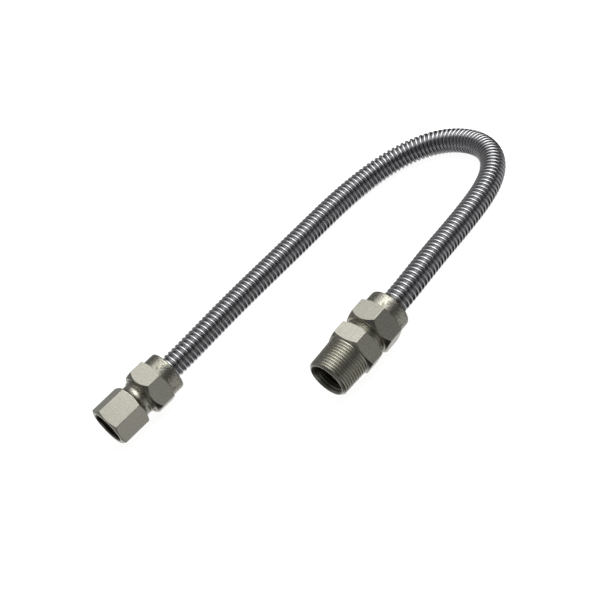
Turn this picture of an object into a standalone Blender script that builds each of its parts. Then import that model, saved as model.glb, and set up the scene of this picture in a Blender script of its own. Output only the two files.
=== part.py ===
"""Corrugated stainless steel connector hose with a flare nut and a pipe adapter at each end.

Units are metres, +Z is up, and the hose lies on the plane Z = 0.
Each fitting is drawn in the frame of its tube end: the origin is the centre of the flared lip,
local Z points out of the hose towards the mouth, and local X points straight up.
"""

from math import cos, radians, sin, tan

import bmesh
import bpy
import numpy as np
from mathutils import Matrix, Vector

# Tube
TUBE_OD = 0.0159
ROOT_OD = 0.0132
TUBE_WALL = 0.0003
RIDGE_PITCH = 0.00314
CUFF_OD = 0.0156
CUFF_LENGTH = 0.0085
FLARE_OD = 0.0203
FLARE_ANGLE = 45.0
TUBE_SIDES = 10
CURVE_STEPS = 2400

# Centre line of the tube from lip to lip, one point about every 19 mm
ROUTE = [
    (0.1076, -0.0527, 0.0163),
    (0.0885, -0.0527, 0.0163),
    (0.0696, -0.0538, 0.0162),
    (0.0506, -0.0555, 0.0158),
    (0.0316, -0.0574, 0.0150),
    (0.0127, -0.0594, 0.0138),
    (-0.0062, -0.0614, 0.0125),
    (-0.0251, -0.0635, 0.0112),
    (-0.0440, -0.0656, 0.0100),
    (-0.0629, -0.0670, 0.0090),
    (-0.0821, -0.0664, 0.0083),
    (-0.1013, -0.0628, 0.0080),
    (-0.1194, -0.0547, 0.0080),
    (-0.1336, -0.0416, 0.0080),
    (-0.1411, -0.0243, 0.0080),
    (-0.1414, -0.0054, 0.0080),
    (-0.1341, 0.0120, 0.0080),
    (-0.1201, 0.0250, 0.0081),
    (-0.1023, 0.0331, 0.0088),
    (-0.0837, 0.0383, 0.0101),
    (-0.0650, 0.0427, 0.0117),
    (-0.0465, 0.0471, 0.0137),
    (-0.0281, 0.0515, 0.0152),
    (-0.0095, 0.0550, 0.0159),
    (0.0095, 0.0567, 0.0160),
]
FEMALE_HEADING = 0.0
MALE_HEADING = 5.0

# Clearance left between two pieces that touch on the real object
FIT = 0.0003

# Flare nut
NUT_FLATS = 0.0286
NUT_LENGTH = 0.0229
NUT_HEX_LENGTH = 0.0144
NUT_FRONT = 0.0141
NUT_FRONT_CHAMFER = 40.0
NUT_FACE_OD = 0.0274
NUT_REAR_FACE_OD = 0.0269
COLLAR_OD = 0.0266
COLLAR_ROUND = 0.0026
FEMALE_NUT_ROLL = -21.0
MALE_NUT_ROLL = -11.0

# Flare thread, 15/16-16, at its pitch diameter
FLARE_THREAD_OD = 0.02278
NOSE_RIM = 0.0006
PASSAGE = 0.0127

# Pipe socket inside both adapters, 1/2-14 taper pipe thread at its pitch diameter
SOCKET_OD = 0.0198
SOCKET_DEPTH = 0.0150
SOCKET_MOUTH_OD = 0.0218
SOCKET_FLOOR_ANGLE = 60.0
PIPE_TAPER = 1 / 16

# Female adapter
FEMALE_FLATS = 0.0254
FEMALE_HEX_LENGTH = 0.0218
FEMALE_STANDOFF = 0.0066
FEMALE_NECK_LENGTH = 0.0040
FEMALE_ROLL = 21.0
NECK_OD = 0.0219

# Male adapter, 3/4-14 taper pipe thread at its largest diameter
MALE_FLATS = 0.0286
MALE_HEX_LENGTH = 0.0115
MALE_STANDOFF = 0.0041
MALE_NECK_LENGTH = 0.0020
MALE_ROLL = -15.0
PIPE_THREAD_OD = 0.0267
PIPE_THREAD_LENGTH = 0.0205
PIPE_THREAD_CHAMFER = 0.0013

# Chamfers on the hexagons: their angle from the axis, and how far in from the flats they start
HEX_CHAMFER = 60.0
HEX_FACE_INSET = 0.0004

TURN_STEPS = 40
ARC_STEPS = 4
OVERLAP = 0.001
CUT_PAST = 0.002


def clear_scene():
    for thing in list(bpy.data.objects):
        bpy.data.objects.remove(thing, do_unlink=True)


def new_collection(name):
    collection = bpy.data.collections.new(name)
    bpy.context.scene.collection.children.link(collection)
    return collection


def metal(name, colour, roughness):
    material = bpy.data.materials.new(name)
    material.use_nodes = True
    shader = material.node_tree.nodes["Principled BSDF"]
    shader.inputs["Base Color"].default_value = (*colour, 1.0)
    shader.inputs["Metallic"].default_value = 1.0
    shader.inputs["Roughness"].default_value = roughness
    return material


def smooth_line(points):
    """Points close together on the cubic spline through the given, evenly spaced ones."""
    knots = np.array(points)
    count = len(knots)
    matrix = np.zeros((count, count))
    right = np.zeros((count, 3))
    matrix[0, :2] = (2, 1)
    right[0] = 3 * (knots[1] - knots[0])
    matrix[-1, -2:] = (1, 2)
    right[-1] = 3 * (knots[-1] - knots[-2])
    for i in range(1, count - 1):
        matrix[i, i - 1 : i + 2] = (1, 4, 1)
        right[i] = 3 * (knots[i + 1] - knots[i - 1])
    slopes = np.linalg.solve(matrix, right)
    place = np.linspace(0, count - 1, CURVE_STEPS)
    index = np.minimum(place.astype(int), count - 2)
    t = (place - index)[:, None]
    start, end = knots[index], knots[index + 1]
    return (
        start * (1 - t) ** 2 * (1 + 2 * t)
        + slopes[index] * t * (1 - t) ** 2
        + end * t**2 * (3 - 2 * t)
        + slopes[index + 1] * t**2 * (t - 1)
    )


def ridge_stations(length):
    """(distance along the tube, outer radius) from lip to lip: flare, cuff, ridges, cuff, flare."""
    flare_depth = (FLARE_OD - CUFF_OD) / 2 / tan(radians(FLARE_ANGLE))
    corrugated = length - 2 * CUFF_LENGTH
    ridges = round(corrugated / RIDGE_PITCH)
    step = corrugated / ridges / 2
    near = [(0, FLARE_OD / 2), (flare_depth, CUFF_OD / 2), (CUFF_LENGTH - step, CUFF_OD / 2)]
    far = [(length - distance, radius) for distance, radius in reversed(near)]
    middle = [
        (CUFF_LENGTH + i * step, (TUBE_OD if i % 2 else ROOT_OD) / 2)
        for i in range(2 * ridges + 1)
    ]
    return near + middle + far


def make_tube(collection, material):
    line = smooth_line(ROUTE)
    along = np.concatenate([[0], np.cumsum(np.linalg.norm(np.diff(line, axis=0), axis=1))])
    stations = ridge_stations(along[-1])
    curve = bpy.data.curves.new("corrugated_tube", "CURVE")
    curve.dimensions = "3D"
    curve.bevel_depth = 1.0
    curve.bevel_resolution = (TUBE_SIDES - 4) // 2
    spline = curve.splines.new("POLY")
    spline.points.add(len(stations) - 1)
    for point, (distance, radius) in zip(spline.points, stations):
        place = [np.interp(distance, along, line[:, axis]) for axis in range(3)]
        point.co = (*place, 1.0)
        point.radius = radius
    tube = bpy.data.objects.new("corrugated_tube", curve)
    curve.materials.append(material)
    collection.objects.link(tube)
    skin = tube.modifiers.new("wall", "SOLIDIFY")
    skin.thickness = TUBE_WALL
    skin.offset = -1.0
    skin.use_even_offset = True
    return tube


def make_end(name, lip, heading, collection):
    """An empty at a tube end's lip, with Z out of the hose and X straight up."""
    out = Vector((cos(radians(heading)), sin(radians(heading)), 0.0))
    up = Vector((0.0, 0.0, 1.0))
    side = out.cross(up)
    end = bpy.data.objects.new(name, None)
    end.matrix_world = Matrix.Translation(lip) @ Matrix((up, side, out)).transposed().to_4x4()
    collection.objects.link(end)
    return end


def place_on(child, parent, roll=0.0):
    child.parent = parent
    child.rotation_euler = (0.0, 0.0, radians(roll))


def turned(name, profile, collection):
    """A body turned about Z from (radius, height) points that run down its outer side."""
    mesh = bpy.data.meshes.new(name)
    edges = [(i, i + 1) for i in range(len(profile) - 1)]
    mesh.from_pydata([(radius, 0.0, height) for radius, height in profile], edges, [])
    body = bpy.data.objects.new(name, mesh)
    collection.objects.link(body)
    screw = body.modifiers.new("turn", "SCREW")
    screw.steps = TURN_STEPS
    screw.render_steps = TURN_STEPS
    screw.use_merge_vertices = True
    screw.merge_threshold = 0.00001
    return body


def hexagon(name, flats, low, high, collection, material):
    """A hexagonal bar from height low to high, with a flat facing local X."""
    shape = bmesh.new()
    bmesh.ops.create_cone(
        shape,
        cap_ends=True,
        segments=6,
        radius1=flats / 2 / cos(radians(30)),
        radius2=flats / 2 / cos(radians(30)),
        depth=high - low,
        matrix=Matrix.Translation((0, 0, (low + high) / 2)),
    )
    mesh = bpy.data.meshes.new(name)
    shape.to_mesh(mesh)
    shape.free()
    mesh.materials.append(material)
    bar = bpy.data.objects.new(name, mesh)
    collection.objects.link(bar)
    return bar


def combine(body, operation, tool):
    tool.hide_render = True
    tool.display_type = "WIRE"
    place_on(tool, body)
    modifier = body.modifiers.new(operation.lower(), "BOOLEAN")
    modifier.operation = operation
    modifier.object = tool


def chamfer_profile(flats, low, high, low_face, low_angle, high_face, high_angle):
    """A double cone round a hexagon: its two end faces and the angles from the axis of its chamfers."""
    corner = flats / 2 / cos(radians(30)) + OVERLAP
    return [
        (0.0, high),
        (high_face / 2, high),
        (corner, high - (corner - high_face / 2) / tan(radians(high_angle))),
        (corner, low + (corner - low_face / 2) / tan(radians(low_angle))),
        (low_face / 2, low),
        (0.0, low),
    ]


def seat_height(radius):
    """Height at which the nut's cone, just outside the flare, has this radius."""
    aside = FIT / cos(radians(FLARE_ANGLE))
    return (radius - aside - FLARE_OD / 2) / tan(radians(FLARE_ANGLE))


def nose_height(radius):
    """Height at which the adapter's cone, just inside the flare's flat sides, has this radius."""
    aside = FIT / cos(radians(FLARE_ANGLE))
    skin = TUBE_WALL / cos(radians(FLARE_ANGLE))
    inner_radius = (radius + aside) / cos(radians(180 / TUBE_SIDES))
    return (inner_radius + skin - FLARE_OD / 2) / tan(radians(FLARE_ANGLE))


def rounded_edge(radius, height, size):
    """Points of a quarter circle that ends the outer side of a body at this height, going down."""
    quarter = radians(90)
    return [
        (
            radius - size + size * cos(quarter * i / ARC_STEPS),
            height + size - size * sin(quarter * i / ARC_STEPS),
        )
        for i in range(ARC_STEPS + 1)
    ]


def make_flare_nut(name, end, roll, collection, cutters, material):
    hex_rear = NUT_FRONT - NUT_HEX_LENGTH
    rear = NUT_FRONT - NUT_LENGTH
    nut = hexagon(name, NUT_FLATS, hex_rear, NUT_FRONT, collection, material)
    place_on(nut, end, roll)
    chamfers = chamfer_profile(
        NUT_FLATS,
        hex_rear,
        NUT_FRONT,
        NUT_REAR_FACE_OD,
        HEX_CHAMFER,
        NUT_FACE_OD,
        NUT_FRONT_CHAMFER,
    )
    combine(nut, "INTERSECT", turned(name + "_chamfers", chamfers, cutters))
    collar = [(0.0, hex_rear + OVERLAP), (COLLAR_OD / 2, hex_rear + OVERLAP)]
    collar += rounded_edge(COLLAR_OD / 2, rear, COLLAR_ROUND)
    collar += [(0.0, rear)]
    combine(nut, "UNION", turned(name + "_collar", collar, cutters))
    thread = FLARE_THREAD_OD / 2 + FIT / 2
    hole = TUBE_OD / 2 + FIT
    bore = [
        (0.0, NUT_FRONT + CUT_PAST),
        (thread, NUT_FRONT + CUT_PAST),
        (thread, seat_height(thread)),
        (hole, seat_height(hole)),
        (hole, rear - CUT_PAST),
        (0.0, rear - CUT_PAST),
    ]
    combine(nut, "DIFFERENCE", turned(name + "_bore", bore, cutters))
    return nut


def shank_profile(hex_rear, neck_length, overlap):
    """The turned stem that screws into the flare nut, from inside the hexagon down to its 45 degree nose."""
    thread = FLARE_THREAD_OD / 2 - FIT / 2
    nose = PASSAGE / 2 + NOSE_RIM
    return [
        (0.0, hex_rear + overlap),
        (NECK_OD / 2, hex_rear + overlap),
        (NECK_OD / 2, hex_rear - neck_length),
        (thread, hex_rear - neck_length),
        (thread, nose_height(thread)),
        (nose, nose_height(nose)),
        (0.0, nose_height(nose)),
    ]


def passage_profile(mouth):
    """The way through an adapter: tapered pipe socket with a countersunk mouth, then the plain passage."""
    countersink = (SOCKET_MOUTH_OD - SOCKET_OD) / 2
    socket_end = mouth - SOCKET_DEPTH
    socket_end_radius = (SOCKET_OD - (SOCKET_DEPTH - countersink) * PIPE_TAPER) / 2
    floor_depth = (socket_end_radius - PASSAGE / 2) / tan(radians(SOCKET_FLOOR_ANGLE))
    past_nose = nose_height(PASSAGE / 2) - CUT_PAST
    return [
        (0.0, mouth + CUT_PAST),
        (SOCKET_MOUTH_OD / 2 + CUT_PAST, mouth + CUT_PAST),
        (SOCKET_OD / 2, mouth - countersink),
        (socket_end_radius, socket_end),
        (PASSAGE / 2, socket_end - floor_depth),
        (PASSAGE / 2, past_nose),
        (0.0, past_nose),
    ]


def make_female_adapter(name, end, collection, cutters, material):
    hex_rear = NUT_FRONT + FEMALE_STANDOFF
    mouth = hex_rear + FEMALE_HEX_LENGTH
    adapter = hexagon(name, FEMALE_FLATS, hex_rear, mouth, collection, material)
    place_on(adapter, end, FEMALE_ROLL)
    face = FEMALE_FLATS - 2 * HEX_FACE_INSET
    chamfers = chamfer_profile(FEMALE_FLATS, hex_rear, mouth, face, HEX_CHAMFER, face, HEX_CHAMFER)
    combine(adapter, "INTERSECT", turned(name + "_chamfers", chamfers, cutters))
    shank = shank_profile(hex_rear, FEMALE_NECK_LENGTH, OVERLAP)
    combine(adapter, "UNION", turned(name + "_shank", shank, cutters))
    combine(adapter, "DIFFERENCE", turned(name + "_passage", passage_profile(mouth), cutters))
    return adapter


def make_male_adapter(name, end, collection, cutters, material):
    hex_rear = NUT_FRONT + MALE_STANDOFF
    hex_front = hex_rear + MALE_HEX_LENGTH
    mouth = hex_front + PIPE_THREAD_LENGTH
    adapter = hexagon(name, MALE_FLATS, hex_rear, hex_front, collection, material)
    place_on(adapter, end, MALE_ROLL)
    face = MALE_FLATS - 2 * HEX_FACE_INSET
    chamfers = chamfer_profile(
        MALE_FLATS, hex_rear, hex_front, face, HEX_CHAMFER, face, HEX_CHAMFER
    )
    combine(adapter, "INTERSECT", turned(name + "_chamfers", chamfers, cutters))
    shank = shank_profile(hex_rear, MALE_NECK_LENGTH, OVERLAP)
    combine(adapter, "UNION", turned(name + "_shank", shank, cutters))
    tip = (PIPE_THREAD_OD - PIPE_THREAD_LENGTH * PIPE_TAPER) / 2
    pipe = [
        (0.0, mouth),
        (tip - PIPE_THREAD_CHAMFER, mouth),
        (tip, mouth - PIPE_THREAD_CHAMFER),
        (PIPE_THREAD_OD / 2, hex_front),
        (PIPE_THREAD_OD / 2, hex_front - OVERLAP),
        (0.0, hex_front - OVERLAP),
    ]
    combine(adapter, "UNION", turned(name + "_pipe_thread", pipe, cutters))
    combine(adapter, "DIFFERENCE", turned(name + "_passage", passage_profile(mouth), cutters))
    return adapter


def main():
    clear_scene()
    parts = new_collection("corrugated_hose")
    cutters = new_collection("cutters")
    stainless = metal("stainless_steel", (0.30, 0.30, 0.31), 0.25)
    plated = metal("plated_steel", (0.42, 0.41, 0.35), 0.35)
    make_tube(parts, stainless)
    female_end = make_end("female_end", ROUTE[0], FEMALE_HEADING, parts)
    male_end = make_end("male_end", ROUTE[-1], MALE_HEADING, parts)
    make_flare_nut("female_end_flare_nut", female_end, FEMALE_NUT_ROLL, parts, cutters, plated)
    make_female_adapter("female_pipe_adapter", female_end, parts, cutters, plated)
    make_flare_nut("male_end_flare_nut", male_end, MALE_NUT_ROLL, parts, cutters, plated)
    make_male_adapter("male_pipe_adapter", male_end, parts, cutters, plated)


main()
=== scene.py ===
"""Bent corrugated stainless steel connector hose with a flare nut and a pipe adapter at each end.

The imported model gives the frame: metres, +Z up, the hose lying on Z = 0.
"""

from math import atan, atan2, cos, pi, radians, sin, sqrt, tan

import bmesh
import bpy
import numpy as np
from mathutils import Matrix, Vector
from mathutils.kdtree import KDTree


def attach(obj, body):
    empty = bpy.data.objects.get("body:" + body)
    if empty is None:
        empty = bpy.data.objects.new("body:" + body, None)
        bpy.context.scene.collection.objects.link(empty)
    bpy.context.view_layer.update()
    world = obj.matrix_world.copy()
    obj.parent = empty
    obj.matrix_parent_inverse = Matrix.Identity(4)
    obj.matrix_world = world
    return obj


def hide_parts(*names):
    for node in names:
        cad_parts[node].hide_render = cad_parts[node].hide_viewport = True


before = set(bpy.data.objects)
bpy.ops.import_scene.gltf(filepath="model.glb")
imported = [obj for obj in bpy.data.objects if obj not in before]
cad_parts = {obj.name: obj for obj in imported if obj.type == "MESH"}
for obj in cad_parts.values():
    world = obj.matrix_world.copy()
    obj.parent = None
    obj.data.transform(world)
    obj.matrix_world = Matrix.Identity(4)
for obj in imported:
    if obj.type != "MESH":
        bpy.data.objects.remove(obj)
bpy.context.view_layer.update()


# Camera
# A long lens on the side of the open ends, 33 degrees above the floor and rolled, so that the
# bend points up and to the right as in the photograph.
camera_at = Vector((0.2859, 0.6352, 0.4909))
camera_right = Vector((-0.6788, 0.5964, -0.4284)).normalized()
camera_back = camera_right.cross(Vector((-0.6627, -0.2461, 0.7073))).normalized()
camera_up = camera_back.cross(camera_right)

camera_data = bpy.data.cameras.new("photo_camera")
camera_data.sensor_width = 36.0
camera_data.lens = 84.0
camera = bpy.data.objects.new("photo_camera", camera_data)
camera.matrix_world = (
    Matrix.Translation(camera_at)
    @ Matrix((camera_right, camera_up, camera_back)).transposed().to_4x4()
)
bpy.context.scene.collection.objects.link(camera)
bpy.context.scene.camera = camera
bpy.context.scene.view_settings.view_transform = "Standard"


# Corrugated tube
# Thin stainless steel tube, rolled into round annular ridges between two plain cuffs, bent by
# hand, with each lip flared to 45 degrees so that its nut can't come off.
tube_route = [
    (0.1076, -0.0527, 0.0163),
    (0.0885, -0.0527, 0.0163),
    (0.0696, -0.0538, 0.0162),
    (0.0506, -0.0555, 0.0158),
    (0.0316, -0.0574, 0.0150),
    (0.0127, -0.0594, 0.0138),
    (-0.0062, -0.0614, 0.0125),
    (-0.0251, -0.0635, 0.0112),
    (-0.0440, -0.0656, 0.0100),
    (-0.0629, -0.0670, 0.0090),
    (-0.0821, -0.0664, 0.0083),
    (-0.1013, -0.0628, 0.0080),
    (-0.1194, -0.0547, 0.0080),
    (-0.1336, -0.0416, 0.0080),
    (-0.1411, -0.0243, 0.0080),
    (-0.1414, -0.0054, 0.0080),
    (-0.1341, 0.0120, 0.0080),
    (-0.1201, 0.0250, 0.0081),
    (-0.1023, 0.0331, 0.0088),
    (-0.0837, 0.0383, 0.0101),
    (-0.0650, 0.0427, 0.0117),
    (-0.0465, 0.0471, 0.0137),
    (-0.0281, 0.0515, 0.0152),
    (-0.0095, 0.0550, 0.0159),
    (0.0095, 0.0567, 0.0160),
]
tube_diameter = 0.0159
ridge_pitch = 0.00314
crest_round = 0.00105
groove_round = 0.00052
ridge_slope = radians(80)
ridge_depth = (crest_round + groove_round) * (1 - cos(ridge_slope))
cuff_diameter = 0.0156
cuff_length = 0.0085
flare_diameter = 0.0203
tube_wall = 0.0003
bore_radius = 0.0063
tube_sides = 48
route_steps = 2400
groove_rows, crest_rows = 4, 7
bore_rings = 90
aim_step = 0.0004
cuff_shoulder = (0.0008, 0.0003, 0.0004)
merge_distance = 0.000002


def smooth_line(points, count):
    """Points close together on the cubic spline through the given, evenly spaced ones."""
    knots = np.array(points)
    last = len(knots) - 1
    matrix = np.zeros((last + 1, last + 1))
    right = np.zeros((last + 1, 3))
    matrix[0, :2] = (2, 1)
    right[0] = 3 * (knots[1] - knots[0])
    matrix[-1, -2:] = (1, 2)
    right[-1] = 3 * (knots[-1] - knots[-2])
    for i in range(1, last):
        matrix[i, i - 1 : i + 2] = (1, 4, 1)
        right[i] = 3 * (knots[i + 1] - knots[i - 1])
    slopes = np.linalg.solve(matrix, right)
    place = np.linspace(0, last, count)
    index = np.minimum(place.astype(int), last - 1)
    t = (place - index)[:, None]
    return (
        knots[index] * (1 - t) ** 2 * (1 + 2 * t)
        + slopes[index] * t * (1 - t) ** 2
        + knots[index + 1] * t**2 * (3 - 2 * t)
        + slopes[index + 1] * t**2 * (t - 1)
    )


def ridge_section(pitch, crest, groove, slope):
    """(place along one pitch, depth below the crest) of a round ridge between two half grooves."""
    reach, depth = (crest + groove) * sin(slope), (crest + groove) * (1 - cos(slope))
    points = []
    for angle in np.linspace(0, slope, groove_rows)[:-1]:
        points.append((groove * sin(angle), depth - groove * (1 - cos(angle))))
    for angle in np.linspace(-slope, slope, crest_rows):
        points.append((reach + crest * sin(angle), crest * (1 - cos(angle))))
    for angle in np.linspace(slope, 0, groove_rows)[1:-1]:
        points.append((2 * reach - groove * sin(angle), depth - groove * (1 - cos(angle))))
    return [(place * pitch / (2 * reach), below) for place, below in points]


def closed_skin(name, rings, matrix=Matrix.Identity(4)):
    """A closed body from rings of points, the last ring on the first one, with shared points
    merged."""
    points = np.array(rings)
    index = np.arange(points.shape[0] * points.shape[1]).reshape(points.shape[:2])
    here, there = index[:-1], index[1:]
    faces = np.stack((here, there, np.roll(there, -1, 1), np.roll(here, -1, 1)), axis=-1)
    mesh = bpy.data.meshes.new(name)
    mesh.from_pydata(points.reshape(-1, 3).tolist(), [], faces.reshape(-1, 4).tolist())
    shape = bmesh.new()
    shape.from_mesh(mesh)
    bmesh.ops.remove_doubles(shape, verts=shape.verts, dist=merge_distance)
    bmesh.ops.recalc_face_normals(shape, faces=shape.faces)
    for face in shape.faces:
        face.smooth = True
    shape.to_mesh(mesh)
    shape.free()
    piece = bpy.data.objects.new(name, mesh)
    piece.matrix_world = matrix
    bpy.context.scene.collection.objects.link(piece)
    return piece


def colour(hex_value):
    """Linear colour with alpha of an sRGB hex value."""
    parts = [int(hex_value[i : i + 2], 16) / 255 for i in (1, 3, 5)]
    linear = [c / 12.92 if c <= 0.04045 else ((c + 0.055) / 1.055) ** 2.4 for c in parts]
    return (*linear, 1.0)


def add_node(tree, kind, inputs=None, **settings):
    """Adds a node with its settings, and fills or links its inputs by name or number. A Mix node
    has its two colours at 6 and 7."""
    made = tree.nodes.new(kind)
    for name, value in settings.items():
        setattr(made, name, value)
    for name, value in (inputs or {}).items():
        if isinstance(value, bpy.types.NodeSocket):
            tree.links.new(value, made.inputs[name])
        else:
            made.inputs[name].default_value = value
    return made


tube_line = smooth_line(tube_route, route_steps)
tube_along = np.concatenate([[0], np.cumsum(np.linalg.norm(np.diff(tube_line, axis=0), axis=1))])
tube_length = tube_along[-1]

flare_depth = (flare_diameter - cuff_diameter) / 2
corrugated = tube_length - 2 * cuff_length
ridge_count = round(corrugated / ridge_pitch)
ridge = ridge_section(corrugated / ridge_count, crest_round, groove_round, ridge_slope)
shoulder_start, shoulder_end, shoulder_drop = cuff_shoulder
cuff_rows = [
    (0.0, flare_diameter / 2),
    (flare_depth, cuff_diameter / 2),
    (cuff_length - shoulder_start, cuff_diameter / 2),
    (cuff_length - shoulder_end, cuff_diameter / 2 - shoulder_drop),
]
outside = list(cuff_rows)
for number in range(ridge_count):
    start = cuff_length + number * corrugated / ridge_count
    outside += [(start + place, tube_diameter / 2 - depth) for place, depth in ridge]
outside += [(tube_length - place, radius) for place, radius in reversed(cuff_rows)]
lip_skin = tube_wall * sqrt(2)
inside_flare = flare_diameter / 2 - lip_skin - bore_radius
inside = [(0.0, flare_diameter / 2 - lip_skin), (inside_flare, bore_radius)]
bore_places = np.linspace(inside_flare, tube_length - inside_flare, bore_rings)
inside += [(place, bore_radius) for place in bore_places[1:]]
inside += [(tube_length, flare_diameter / 2 - lip_skin)]

tube_rings = []
for place, radius in outside + inside[::-1] + outside[:1]:
    middle = Vector([np.interp(place, tube_along, tube_line[:, axis]) for axis in range(3)])
    near = [np.clip(place + step, 0, tube_length) for step in (-aim_step, aim_step)]
    ends = [[np.interp(s, tube_along, tube_line[:, axis]) for axis in range(3)] for s in near]
    ahead = (Vector(ends[1]) - Vector(ends[0])).normalized()
    aside = ahead.cross(Vector((0, 0, 1))).normalized()
    above = aside.cross(ahead)
    tube_rings.append(
        [
            middle + radius * (cos(turn) * above + sin(turn) * aside)
            for turn in np.linspace(0, 2 * pi, tube_sides, endpoint=False)
        ]
    )
tube = closed_skin("corrugated_tube_skin", tube_rings)

route_tree = KDTree(len(tube_line))
for number, point in enumerate(tube_line):
    route_tree.insert(point, number)
route_tree.balance()
from_line = np.array([route_tree.find(vertex.co)[2] for vertex in tube.data.vertices])
# Depth into the grooves, 0 at the crests and 1 at their bottoms, for the painted groove shade
groove = tube.data.attributes.new("groove", "FLOAT", "POINT")
groove.data.foreach_set("value", np.clip((tube_diameter / 2 - from_line) / ridge_depth, 0, 1))

# Bright-annealed 304 stainless steel: a neutral, slightly blue grey that mirrors its surroundings.
# The grooves are painted darker towards their bottoms, painted shade for the shadow deep in
# each groove, which makes each ridge stand out. The roller marks are drawn at 0.4 mm, coarser
# than the real ones, and the polish changes in patches of about 6 mm.
roller_mark_mm, patch_mm = 0.4, 6.25
stainless = bpy.data.materials.new("bright_annealed_stainless_steel")
stainless.use_nodes = True
tree = stainless.node_tree
shader = tree.nodes["Principled BSDF"]
place_on_piece = add_node(tree, "ShaderNodeTexCoord").outputs["Object"]
roller_marks = add_node(
    tree,
    "ShaderNodeTexNoise",
    {"Vector": place_on_piece, "Scale": 1000 / roller_mark_mm, "Detail": 3.0},
)
patches = add_node(
    tree, "ShaderNodeTexNoise", {"Vector": place_on_piece, "Scale": 1000 / patch_mm, "Detail": 2.0}
)
dullness = add_node(
    tree,
    "ShaderNodeMapRange",
    {
        "Value": patches.outputs["Fac"],
        "From Min": 0.3,
        "From Max": 0.7,
        "To Min": 0.18,
        "To Max": 0.25,
    },
)
relief = add_node(
    tree,
    "ShaderNodeBump",
    {"Height": roller_marks.outputs["Fac"], "Strength": 0.12, "Distance": 0.0001},
)
polished = add_node(
    tree,
    "ShaderNodeMix",
    {"Factor": patches.outputs["Fac"], 6: colour("#d9dadd"), 7: colour("#e6e6e8")},
    data_type="RGBA",
)
# Painted shade: the base colour darkens to #9a9a9e towards the bottom of each groove
groove_depth = add_node(tree, "ShaderNodeAttribute", attribute_name="groove").outputs["Fac"]
painted_groove_shade = add_node(
    tree,
    "ShaderNodeMapRange",
    {"Value": groove_depth, "From Min": 0.2, "From Max": 0.9},
)
shade = add_node(
    tree,
    "ShaderNodeMix",
    {"Factor": painted_groove_shade.outputs["Result"], 6: polished.outputs[2], 7: colour("#9a9a9e")},
    data_type="RGBA",
)
shader.inputs["Metallic"].default_value = 1.0
tree.links.new(shade.outputs[2], shader.inputs["Base Color"])
tree.links.new(dullness.outputs["Result"], shader.inputs["Roughness"])
tree.links.new(relief.outputs["Normal"], shader.inputs["Normal"])
tube.data.materials.append(stainless)
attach(tube, "hose")
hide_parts("corrugated_tube")


# Flare nuts
# Two alike, forged from steel and plated: a hexagon with its front corners turned off, and a round
# collar behind it. A 15/16-16 thread inside pulls the adapter on to the flare.
nut_flats = 0.0286
nut_length = 0.0229
nut_hexagon_length = 0.0144
nut_front = 0.0141
nut_front_slope = radians(40)
nut_face_diameter = 0.0274
nut_rear_slope = radians(60)
nut_rear_face = 0.0269
collar_diameter = 0.0266
collar_round = 0.0026
collar_round_start = collar_round * 1.2
collar_shading_row = 0.0003
nut_hole = 0.0165
flare_pitch = 0.0015875
nut_thread_crest = 0.01110
nut_thread_depth = 0.00090
nut_thread_widths = (0.050, 0.123)
nut_thread_end = 0.0006
hole_chamfer = 0.0004
seat_behind_lip = 0.0020
thread_above_seat = 0.0001
hexagon_corner = 0.0004
hexagon_side_columns = 17
edge_break = 0.0002
female_heading, male_heading = radians(0), radians(5)
female_nut_roll, male_nut_roll = radians(-21), radians(-11)


def end_frame(lip, heading):
    """Frame of a tube end: origin at the lip, Z out of the hose, X straight up."""
    out = Vector((cos(heading), sin(heading), 0.0))
    up = Vector((0.0, 0.0, 1.0))
    return Matrix.Translation(lip) @ Matrix((up, out.cross(up), out)).transposed().to_4x4()


def hexagon_columns(flats, corner, roll):
    """(angle, radius) once round a hexagon with rounded corners, closer together near them."""
    half = flats / 2
    tangent = atan((half - corner) * tan(radians(30)) / half)
    centre = (half - corner) / cos(radians(30))
    beside = radians(0.3)
    inner = tangent - beside
    across = [-tangent, *np.linspace(-inner, inner, hexagon_side_columns), tangent]
    columns = []
    for side in range(6):
        middle = roll + side * radians(60)
        columns += [(middle + angle, half / cos(angle)) for angle in across]
        for bend in np.radians((-15, 0, 15)):
            x, y = centre + corner * cos(bend), corner * sin(bend)
            columns.append((middle + radians(30) + atan2(y, x), sqrt(x * x + y * y)))
    return columns + [(columns[0][0] + 2 * pi, columns[0][1])]


def softened(section):
    """A section's (radius, height, edge size) points with each edge rounded to its size, or to
    as much as its neighbours leave, between two close rows that keep the shading flat."""
    points = [Vector(point[:2]) for point in section]
    soft = []
    for i, point in enumerate(points):
        size = section[i][2]
        if size == 0:
            soft.append(point)
            continue
        back = points[i - 1] - point
        ahead = points[(i + 1) % len(points)] - point
        reach = min(size, back.length * 0.45, ahead.length * 0.45)
        start, end = point + back.normalized() * reach, point + ahead.normalized() * reach
        soft.append(start + back.normalized() * reach * 0.1)
        for t in (0.0, 0.25, 0.5, 0.75, 1.0):
            soft.append(start * (1 - t) ** 2 + point * 2 * t * (1 - t) + end * t**2)
        soft.append(end + ahead.normalized() * reach * 0.1)
    return soft


def thread_stations(low, high, pitch, turn, crest, root, radius_at, depth, shoulder=None):
    """(radius, height, edge size) along a right-hand 60 degree thread, at this share of a turn.
    It is cut to depth below radius_at, or stands up from it where depth is negative. crest and
    root are the half widths, in pitches, at radius_at and at the full depth. The thread dies out
    over one pitch at each end, or over the shoulder's length at the high one."""
    flank = 0.5 - crest - root
    shape = [(-crest, 0.0), (0.0, 0.0), (crest, 0.0), (crest + flank / 2, 0.5)]
    shape += [(0.5 - root, 1.0), (0.5, 1.0), (0.5 + root, 1.0), (1 - crest - flank / 2, 0.5)]
    stations = []
    for number in range(int(low / pitch) - 2, int(high / pitch) + 3):
        for place, share in shape:
            height = (number + place + turn) * pitch
            held = min(max(height, low), high)
            fade = min(1.0, (held - low) / pitch, (high - held) / (shoulder or pitch))
            stations.append((radius_at(held) - depth * share * fade, held, 0))
    return stations


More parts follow.
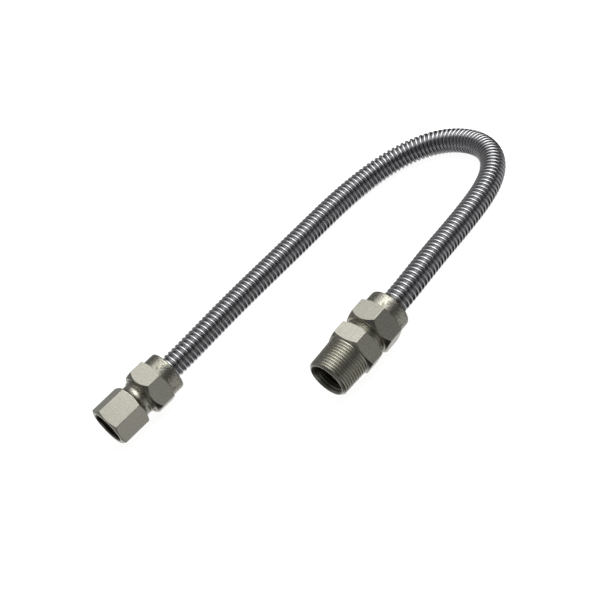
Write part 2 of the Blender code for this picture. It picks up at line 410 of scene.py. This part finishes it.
def turned_body(name, columns, section_at, matrix):
    """A body with a hole along Z, from its closed section at each (angle, hexagon radius)."""
    rings = []
    for angle, reach in columns:
        section = softened(section_at(angle, reach))
        rings.append([(p.x * cos(angle), p.x * sin(angle), p.y) for p in section])
    return closed_skin(name, rings, matrix)


def nut_section(angle, reach):
    """From the front face down the hexagon and the collar, and back up the hole and the thread."""
    rear = nut_front - nut_length
    hexagon_rear = nut_front - nut_hexagon_length
    face, rear_face = nut_face_diameter / 2, nut_rear_face / 2
    collar, hole = collar_diameter / 2, nut_hole / 2
    thread_root = nut_thread_crest + nut_thread_depth
    seat = thread_root - hole
    outer = [
        (thread_root + hole_chamfer, nut_front, edge_break),
        (face, nut_front, edge_break),
        (reach, nut_front - (reach - face) / tan(nut_front_slope), edge_break),
        (reach, hexagon_rear + (reach - rear_face) / tan(nut_rear_slope), edge_break),
        (rear_face, hexagon_rear, edge_break / 4),
        (collar, hexagon_rear, 0),
        (collar, hexagon_rear - collar_shading_row, 0),
        (collar, rear + collar_round_start, 0),
        (collar, rear, collar_round),
        (hole + hole_chamfer, rear, edge_break),
        (hole, rear + hole_chamfer, edge_break),
        (hole, -seat_behind_lip, 0),
        (hole + seat, seat - seat_behind_lip, 0),
    ]
    thread = thread_stations(
        seat - seat_behind_lip + thread_above_seat,
        nut_front - nut_thread_end,
        flare_pitch,
        angle / (2 * pi),
        *nut_thread_widths,
        lambda height: thread_root,
        nut_thread_depth,
    )
    return outer + thread


female_end = end_frame(tube_route[0], female_heading)
male_end = end_frame(tube_route[-1], male_heading)
female_nut = turned_body(
    "female_end_nut_skin",
    hexagon_columns(nut_flats, hexagon_corner, female_nut_roll),
    nut_section,
    female_end,
)
male_nut = turned_body(
    "male_end_nut_skin",
    hexagon_columns(nut_flats, hexagon_corner, male_nut_roll),
    nut_section,
    male_end,
)

# Satin zinc-nickel plating on steel: warm light grey, with the grain of drawing left under it,
# drawn at 0.5 mm so that it shows. The forged collar keeps a rougher skin with dark specks of
# scale about 1 mm across. Deep in a tapped socket the colour is painted darker: painted shade
# where the socket lies in shadow.
grain_mm, speck_mm = 0.5, 10 / 9
plating = bpy.data.materials.new("satin_plated_steel")
plating.use_nodes = True
tree = plating.node_tree
shader = tree.nodes["Principled BSDF"]
place_on_piece = add_node(tree, "ShaderNodeTexCoord").outputs["Object"]
grain = add_node(
    tree, "ShaderNodeTexNoise", {"Vector": place_on_piece, "Scale": 1000 / grain_mm, "Detail": 4.0}
)
mottle = add_node(
    tree, "ShaderNodeTexNoise", {"Vector": place_on_piece, "Scale": 1000 / speck_mm, "Detail": 6.0}
)
drawn = add_node(
    tree,
    "ShaderNodeMapRange",
    {"Value": mottle.outputs["Fac"], "From Min": 0.32, "From Max": 0.68},
)
clean = add_node(
    tree,
    "ShaderNodeMix",
    {"Factor": drawn.outputs["Result"], 6: colour("#c1beaf"), 7: colour("#d6d4c9")},
    data_type="RGBA",
)
scale_pits = add_node(
    tree, "ShaderNodeTexNoise", {"Vector": place_on_piece, "Scale": 1000 / speck_mm, "Detail": 5.0}
)
pitted = add_node(
    tree,
    "ShaderNodeMapRange",
    {
        "Value": scale_pits.outputs["Fac"],
        "From Min": 0.48,
        "From Max": 0.64,
        "To Min": 0.0,
        "To Max": 0.75,
    },
)
forged = add_node(tree, "ShaderNodeAttribute", attribute_name="forged").outputs["Fac"]
stained = add_node(
    tree, "ShaderNodeMath", {0: pitted.outputs["Result"], 1: forged}, operation="MULTIPLY"
)
plated = add_node(
    tree,
    "ShaderNodeMix",
    {"Factor": stained.outputs[0], 6: clean.outputs[2], 7: colour("#6f6b58")},
    data_type="RGBA",
)
# Painted shade: the base colour darkens to #4c493e deep in a tapped socket
socket_shade = add_node(tree, "ShaderNodeAttribute", attribute_name="socket_shade").outputs["Fac"]
shade = add_node(
    tree,
    "ShaderNodeMix",
    {"Factor": socket_shade, 6: plated.outputs[2], 7: colour("#4c493e")},
    data_type="RGBA",
)
dullness = add_node(
    tree,
    "ShaderNodeMapRange",
    {"Value": drawn.outputs["Result"], "To Min": 0.27, "To Max": 0.36},
)
fine_relief = add_node(
    tree,
    "ShaderNodeBump",
    {"Height": grain.outputs["Fac"], "Strength": 0.35, "Distance": 0.0001},
)
rough_skin = add_node(
    tree, "ShaderNodeMath", {0: scale_pits.outputs["Fac"], 1: forged}, operation="MULTIPLY"
)
relief = add_node(
    tree,
    "ShaderNodeBump",
    {
        "Height": rough_skin.outputs[0],
        "Strength": 0.8,
        "Distance": 0.0002,
        "Normal": fine_relief.outputs["Normal"],
    },
)
shader.inputs["Metallic"].default_value = 1.0
tree.links.new(shade.outputs[2], shader.inputs["Base Color"])
tree.links.new(dullness.outputs["Result"], shader.inputs["Roughness"])
tree.links.new(relief.outputs["Normal"], shader.inputs["Normal"])

collar_front = nut_front - nut_hexagon_length - 0.0001
for nut, body, node in (
    (female_nut, "female_nut", "female_end_flare_nut"),
    (male_nut, "male_nut", "male_end_flare_nut"),
):
    nut.data.materials.append(plating)
    forged_skin = [float(vertex.co.z < collar_front) for vertex in nut.data.vertices]
    nut.data.attributes.new("forged", "FLOAT", "POINT").data.foreach_set("value", forged_skin)
    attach(nut, body)
    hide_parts(node)


# Female pipe adapter
# Turned from hexagon steel bar: a socket tapped 1/2-14 taper in the hexagon, a plain neck, and a
# 15/16-16 stem whose 45 degree nose seals in the tube's flare.
female_flats = 0.0254
female_hexagon_length = 0.0218
female_standoff = 0.0066
female_neck = 0.0040
hexagon_face_inset = 0.0004
hexagon_slope = radians(60)
neck_diameter = 0.0219
stem_thread_crest = 0.01185
stem_thread_depth = 0.00090
stem_shoulder = 0.00045
passage = 0.0127
nose_rim = 0.0006
pipe_pitch = 0.0018143
pipe_taper = 1 / 32
socket_diameter = 0.0198
socket_depth = 0.0150
socket_mouth = 0.0218
socket_thread_depth = 0.0011
socket_thread_widths = (0.07, 0.07)
socket_thread_start = 0.0004
countersink_share = 0.6
socket_floor_slope = radians(60)
stem_thread_widths = (0.112, 0.061)
nose_clearance = 0.0005
nose_thread_drop = 0.0008
female_roll = radians(21)
female_socket_shade_depth = 0.0015


def stem_section(hexagon_rear, neck, turn):
    """From the hexagon's rear face down the neck, the thread and the nose, to the passage."""
    nose = passage / 2 + nose_rim
    nose_low = nose - flare_diameter / 2 + lip_skin + nose_clearance
    thread_low = nose_low + (stem_thread_crest - nose_thread_drop - nose)
    neck_end = hexagon_rear - neck
    thread = thread_stations(
        thread_low,
        neck_end,
        flare_pitch,
        turn - 0.5,
        *stem_thread_widths,
        lambda height: stem_thread_crest - stem_thread_depth,
        -stem_thread_depth,
        stem_shoulder,
    )
    rows = [(neck_diameter / 2, hexagon_rear, 0), (neck_diameter / 2, neck_end, 0)]
    return [*rows, *reversed(thread), (nose, nose_low, 0), (passage / 2, nose_low, 0)]


def socket_section(mouth, turn):
    """From the passage up the tapped socket to its countersunk mouth."""
    base = mouth - socket_depth
    countersink = (socket_mouth - socket_diameter) / 2
    pitch_radius = socket_diameter / 2
    low_radius = pitch_radius - socket_depth * pipe_taper - socket_thread_depth / 2
    thread = thread_stations(
        base + socket_thread_start,
        mouth - countersink * countersink_share,
        pipe_pitch,
        turn,
        *socket_thread_widths,
        lambda height: max(
            pitch_radius - (mouth - height) * pipe_taper + socket_thread_depth / 2,
            socket_mouth / 2 - (mouth - height),
        ),
        socket_thread_depth,
    )
    floor_top = base - (low_radius - passage / 2) / tan(socket_floor_slope)
    return [(passage / 2, floor_top, 0), (low_radius, base, 0)] + thread


def female_section(angle, reach):
    turn = angle / (2 * pi)
    rear = nut_front + female_standoff
    mouth = rear + female_hexagon_length
    face = female_flats / 2 - hexagon_face_inset
    outer = [
        (socket_mouth / 2, mouth, edge_break),
        (face, mouth, edge_break),
        (reach, mouth - (reach - face) / tan(hexagon_slope), edge_break),
        (reach, rear + (reach - face) / tan(hexagon_slope), edge_break),
        (face, rear, edge_break),
    ]
    return outer + stem_section(rear, female_neck, turn) + socket_section(mouth, turn)


def mark_socket(adapter, mouth, shade_depth):
    """Stores the painted shade of each point in the tapped socket: 0 at the mouth, 1 deeper down.
    """
    socket_shade = []
    for vertex in adapter.data.vertices:
        x, y, z = vertex.co
        inside = sqrt(x**2 + y**2) < socket_mouth / 2 and z > nut_front
        socket_shade.append(min(max((mouth - z) / shade_depth, 0.0), 1.0) if inside else 0.0)
    adapter.data.attributes.new("socket_shade", "FLOAT", "POINT").data.foreach_set("value", socket_shade)


female_adapter = turned_body(
    "female_adapter_skin",
    hexagon_columns(female_flats, hexagon_corner, female_roll),
    female_section,
    female_end,
)
female_adapter.data.materials.append(plating)
female_mouth = nut_front + female_standoff + female_hexagon_length
mark_socket(female_adapter, female_mouth, female_socket_shade_depth)
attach(female_adapter, "female_adapter")
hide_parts("female_pipe_adapter")


# Male pipe adapter
# Turned from the same bar: a short hexagon, a 3/4-14 taper pipe thread 20.5 mm long that is
# tapped 1/2-14 inside, and the same stem on the other side.
male_flats = 0.0286
male_hexagon_length = 0.0115
male_standoff = 0.0041
male_neck = 0.0020
pipe_thread_diameter = 0.0267
pipe_thread_length = 0.0205
pipe_thread_chamfer = 0.0013
pipe_thread_depth = 0.0010
pipe_thread_widths = (0.23, 0.08)
pipe_thread_start = 0.0004
pipe_thread_end = 0.0003
rim_land = 0.0001
male_roll = radians(-15)
male_socket_shade_depth = 0.0060


def male_section(angle, reach):
    turn = angle / (2 * pi)
    rear = nut_front + male_standoff
    front = rear + male_hexagon_length
    mouth = front + pipe_thread_length
    face = male_flats / 2 - hexagon_face_inset
    tip = pipe_thread_diameter / 2 - pipe_thread_length * pipe_taper
    thread = thread_stations(
        front + pipe_thread_start,
        mouth - pipe_thread_end,
        pipe_pitch,
        turn,
        *pipe_thread_widths,
        lambda height: tip
        + min((mouth - height) * pipe_taper, mouth - height - pipe_thread_chamfer),
        pipe_thread_depth,
    )
    outer = [
        (socket_mouth / 2, mouth, edge_break / 2),
        (tip - pipe_thread_chamfer + rim_land, mouth, edge_break / 2),
        *reversed(thread),
        (pipe_thread_diameter / 2, front, 0),
        (face, front, edge_break),
        (reach, front - (reach - face) / tan(hexagon_slope), edge_break),
        (reach, rear + (reach - face) / tan(hexagon_slope), edge_break),
        (face, rear, edge_break),
    ]
    return outer + stem_section(rear, male_neck, turn) + socket_section(mouth, turn)


male_adapter = turned_body(
    "male_adapter_skin",
    hexagon_columns(male_flats, hexagon_corner, male_roll),
    male_section,
    male_end,
)
male_adapter.data.materials.append(plating)
male_mouth = nut_front + male_standoff + male_hexagon_length + pipe_thread_length
mark_socket(male_adapter, male_mouth, male_socket_shade_depth)
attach(male_adapter, "male_adapter")
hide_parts("male_pipe_adapter")


# Floor and light
# A pale matt table top under two soft overhead lamps, a wide one and a brighter strip inside it.
# The camera sees the table and the room burnt out to white, with the hose's shadow on the table,
# and the metal mirrors them dim: pale at the table's edge and dark beneath the mouths.
table_half, table_height = 2, -0.0001
floor_mesh = bpy.data.meshes.new("table_top")
floor_corners = [
    (x * table_half, y * table_half, table_height) for x, y in ((-1, -1), (1, -1), (1, 1), (-1, 1))
]
floor_mesh.from_pydata(floor_corners, [], [(0, 1, 2, 3)])
floor = bpy.data.objects.new("table_top", floor_mesh)
bpy.context.scene.collection.objects.link(floor)
floor.visible_glossy = False

# Matt paper that the camera sees a little under white, so that the lamps' shadow still shows
paper_glow = 0.92
paper = bpy.data.materials.new("pale_table_paper")
paper.use_nodes = True
tree = paper.node_tree
shader = tree.nodes["Principled BSDF"]
seen = add_node(tree, "ShaderNodeLightPath")
shader.inputs["Base Color"].default_value = colour("#c4c4c4")
shader.inputs["Roughness"].default_value = 0.9
shader.inputs["Specular IOR Level"].default_value = 0.0
shader.inputs["Emission Color"].default_value = (1.0, 1.0, 1.0, 1.0)
burnt_out = add_node(
    tree, "ShaderNodeMath", {0: seen.outputs["Is Camera Ray"], 1: paper_glow}, operation="MULTIPLY"
)
tree.links.new(burnt_out.outputs[0], shader.inputs["Emission Strength"])
floor.data.materials.append(paper)

# The room as the metal mirrors it, by direction: dim walls, lighter behind the hose, a table
# that is pale from its far edge down and palest behind, little light beneath the mouths or to -X
world = bpy.data.worlds.new("dim_room")
world.use_nodes = True
bpy.context.scene.world = world
tree = world.node_tree
seen = add_node(tree, "ShaderNodeLightPath")
room = tree.nodes["Background"]
direction = add_node(tree, "ShaderNodeTexCoord").outputs["Generated"]
part = add_node(tree, "ShaderNodeSeparateXYZ", {"Vector": direction})
wall = add_node(
    tree,
    "ShaderNodeMapRange",
    {
        "Value": part.outputs["Y"],
        "From Min": 0.1,
        "From Max": -0.5,
        "To Min": 0.07,
        "To Max": 0.17,
    },
    interpolation_type="SMOOTHSTEP",
)
table_edge = add_node(
    tree,
    "ShaderNodeMapRange",
    {
        "Value": part.outputs["Z"],
        "From Min": 0.08,
        "From Max": -0.06,
        "To Min": wall.outputs["Result"],
        "To Max": 0.26,
    },
    interpolation_type="SMOOTHSTEP",
)
table_middle = add_node(
    tree,
    "ShaderNodeMapRange",
    {
        "Value": part.outputs["Z"],
        "From Min": -0.15,
        "From Max": -0.55,
        "To Min": 0.0,
        "To Max": 0.15,
    },
    interpolation_type="SMOOTHSTEP",
)
towards_back = add_node(
    tree, "ShaderNodeVectorMath", {0: direction, 1: (-0.10, -0.70, -0.70)}, operation="DOT_PRODUCT"
)
table_back = add_node(
    tree,
    "ShaderNodeMapRange",
    {
        "Value": towards_back.outputs["Value"],
        "From Min": 0.76,
        "From Max": 0.90,
        "To Min": 0.0,
        "To Max": 0.35,
    },
    interpolation_type="SMOOTHSTEP",
)
table = add_node(
    tree,
    "ShaderNodeMath",
    {0: table_middle.outputs["Result"], 1: table_back.outputs["Result"]},
    operation="ADD",
)
table_and_room = add_node(
    tree, "ShaderNodeMath", {0: table_edge.outputs["Result"], 1: table.outputs[0]}, operation="ADD"
)
towards_mouths = add_node(
    tree, "ShaderNodeVectorMath", {0: direction, 1: (0.60, 0.25, -0.76)}, operation="DOT_PRODUCT"
)
lit_side = add_node(
    tree,
    "ShaderNodeMapRange",
    {
        "Value": towards_mouths.outputs["Value"],
        "From Min": 0.70,
        "From Max": 0.88,
        "To Min": 1.0,
        "To Max": 0.04,
    },
    interpolation_type="SMOOTHSTEP",
)
lit_middle = add_node(
    tree,
    "ShaderNodeMapRange",
    {
        "Value": part.outputs["X"],
        "From Min": -0.55,
        "From Max": -0.95,
        "To Min": 1.0,
        "To Max": 0.1,
    },
    interpolation_type="SMOOTHSTEP",
)
lit = add_node(
    tree,
    "ShaderNodeMath",
    {0: lit_side.outputs["Result"], 1: lit_middle.outputs["Result"]},
    operation="MULTIPLY",
)
room_mirrored = add_node(
    tree, "ShaderNodeMath", {0: table_and_room.outputs[0], 1: lit.outputs[0]}, operation="MULTIPLY"
)
room_glow = add_node(
    tree,
    "ShaderNodeMath",
    {0: room_mirrored.outputs[0], 1: seen.outputs["Is Camera Ray"]},
    operation="MAXIMUM",
)
tree.links.new(room_glow.outputs[0], room.inputs["Strength"])
room.inputs["Color"].default_value = (1.0, 1.0, 1.0, 1.0)

# Four watts for each square metre make a lamp of brightness 1
lamp_distance = 2.0
unit_power = 4
for name, towards, length, width, brightness in (
    ("wide_softbox", (-0.55, 0.03, 0.83), 3.0, 2.6, 0.68),
    ("strip_light", (-0.53, 0.11, 0.84), 1.35, 0.85, 1.45),
):
    overhead = Vector(towards).normalized()
    lengthwise = Vector((1, 0, 0))
    lengthwise = (lengthwise - overhead * lengthwise.dot(overhead)).normalized()
    lamp_data = bpy.data.lights.new(name, "AREA")
    lamp_data.shape = "RECTANGLE"
    lamp_data.size = length
    lamp_data.size_y = width
    lamp_data.energy = brightness * unit_power * length * width
    lamp = bpy.data.objects.new(name, lamp_data)
    lamp.matrix_world = (
        Matrix.Translation(overhead * lamp_distance)
        @ Matrix((lengthwise, overhead.cross(lengthwise), overhead)).transposed().to_4x4()
    )
    bpy.context.scene.collection.objects.link(lamp)
